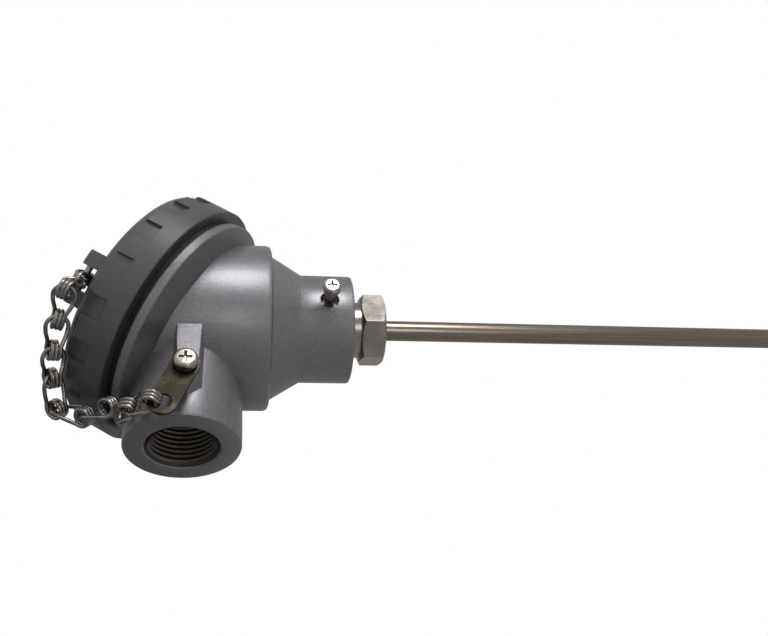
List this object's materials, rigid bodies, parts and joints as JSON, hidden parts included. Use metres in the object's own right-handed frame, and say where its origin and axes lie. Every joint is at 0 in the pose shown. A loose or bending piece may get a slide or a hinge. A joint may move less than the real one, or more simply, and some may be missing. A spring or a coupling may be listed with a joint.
{
  "type": "thermocouple with head",
  "caption": "Metal-sheathed thermocouple probe with an angled cast connection head, screwed cover on a retaining chain, conduit entry and terminal block.",
  "frame": {"origin": "stem axis at the end face of the neck of the head", "axes": "+Z along the stem axis towards the head, +X out of the conduit entry, +Y towards the side with the tag"},
  "size_m": [0.0808, 0.073, 0.234],
  "materials": {
    "head_paint": "silver-grey metallic paint over a cast aluminium head, fine speckle",
    "cover_paint": "silver-grey metallic paint on the screwed cover, a little smoother",
    "gasket_rubber": "black rubber, matt",
    "nickel_steel": "nickel-plated steel, bright with warm reflections",
    "sheath_steel": "drawn stainless steel tube with lengthwise streaks",
    "chain_steel": "bright drawn steel wire",
    "tag_steel": "dark olive-brown steel plate, brushed, bare",
    "block_ceramic": "off-white unglazed ceramic",
    "terminal_brass": "turned and milled brass, clean",
    "seal_resin": "dark potting resin",
    "wire_metal": "bare thermocouple alloy wire"
  },
  "bodies": {
    "head": {"housing": "head_paint", "hex_fitting": "nickel_steel", "set_screw": "nickel_steel", "tag_screw": "nickel_steel", "block_screw_1": "nickel_steel", "block_screw_2": "nickel_steel", "terminal_screw_1": "nickel_steel", "terminal_screw_2": "nickel_steel", "terminal_screw_3": "nickel_steel", "terminal_screw_4": "nickel_steel", "sheath_tube": "sheath_steel", "stem_weld_ring": "sheath_steel", "block_spring_1": "chain_steel", "block_spring_2": "chain_steel", "terminal_block": "block_ceramic", "mineral_core": "block_ceramic", "terminal_positive": "terminal_brass", "terminal_negative": "terminal_brass", "potting_seal": "seal_resin", "wire_positive": "wire_metal", "wire_negative": "wire_metal"},
    "gasket": {"cover_gasket": "gasket_rubber"},
    "cover": {"cover": "cover_paint", "chain_pin": "chain_steel"},
    "link_01": {"chain_link_01": "chain_steel"},
    "link_02": {"chain_link_02": "chain_steel"},
    "link_03": {"chain_link_03": "chain_steel"},
    "link_04": {"chain_link_04": "chain_steel"},
    "link_05": {"chain_link_05": "chain_steel"},
    "link_06": {"chain_link_06": "chain_steel"},
    "link_07": {"chain_link_07": "chain_steel"},
    "link_08": {"chain_link_08": "chain_steel"},
    "link_09": {"chain_link_09": "chain_steel"},
    "link_10": {"chain_link_10": "chain_steel"},
    "tag": {"tag_plate": "tag_steel"}
  },
  "joints": [
    {"name": "cover_lift", "type": "slide", "parent": "head", "child": "gasket", "axis": [-0.5476, 0, 0.8368], "range_m": [0, 0.012]},
    {"name": "cover_turn", "type": "hinge", "parent": "gasket", "child": "cover", "pos_m": [0.001, 0, 0.048], "axis": [-0.5476, 0, 0.8368], "range_deg": [0, 1620]},
    {"name": "link_01_swing", "type": "hinge", "parent": "cover", "child": "link_01", "pos_m": [0.00452, 0.0252, 0.07367], "axis": [-0.6937, 0.5592, -0.454], "range_deg": [-30, 0]},
    {"name": "link_02_swing", "type": "hinge", "parent": "link_01", "child": "link_02", "pos_m": [0.00867, 0.02887, 0.07488], "axis": [-0.5324, 0.738, -0.4147], "range_deg": [-30, 0]},
    {"name": "link_03_swing", "type": "hinge", "parent": "link_02", "child": "link_03", "pos_m": [0.01314, 0.0304, 0.07681], "axis": [-0.3996, 0.049, 0.9154], "range_deg": [0, 30]},
    {"name": "link_04_swing", "type": "hinge", "parent": "link_03", "child": "link_04", "pos_m": [0.01732, 0.02341, 0.079], "axis": [-0.0539, 0.2691, 0.9616], "range_deg": [0, 2]},
    {"name": "link_05_swing", "type": "hinge", "parent": "link_04", "child": "link_05", "pos_m": [0.02182, 0.01619, 0.08041], "axis": [0.2262, 0.3204, 0.9199], "range_deg": [-3, 3]},
    {"name": "link_06_swing", "type": "hinge", "parent": "link_05", "child": "link_06", "pos_m": [0.02541, 0.00889, 0.08108], "axis": [0.4649, 0.3054, 0.831], "range_deg": [-20, 0]},
    {"name": "link_07_swing", "type": "hinge", "parent": "link_06", "child": "link_07", "pos_m": [0.03006, 0.00133, 0.08018], "axis": [0.7036, 0.36, 0.6127], "range_deg": [-3, 6]},
    {"name": "link_08_swing", "type": "hinge", "parent": "link_07", "child": "link_08", "pos_m": [0.03409, 0.00374, 0.07257], "axis": [0.7094, 0.4707, 0.5246], "range_deg": [-6, 8]},
    {"name": "tag_swing", "type": "hinge", "parent": "head", "child": "tag", "pos_m": [0.0288, 0.0199, 0.0464], "axis": [0, 1, 0], "range_deg": [0, 6]},
    {"name": "link_10_swing", "type": "hinge", "parent": "tag", "child": "link_10", "pos_m": [0.04015, 0.0203, 0.05434], "axis": [0.9813, -0.0133, 0.1922], "range_deg": [-2, 2]},
    {"name": "link_09_swing", "type": "hinge", "parent": "link_10", "child": "link_09", "pos_m": [0.03897, 0.01524, 0.06009], "axis": [0.9718, -0.0747, 0.2237], "range_deg": [-3, 6]}
  ],
  "couplings": [
    {"joint": "cover_lift", "follows": "cover_turn", "m_per_rad": 0.00031831}
  ]
}
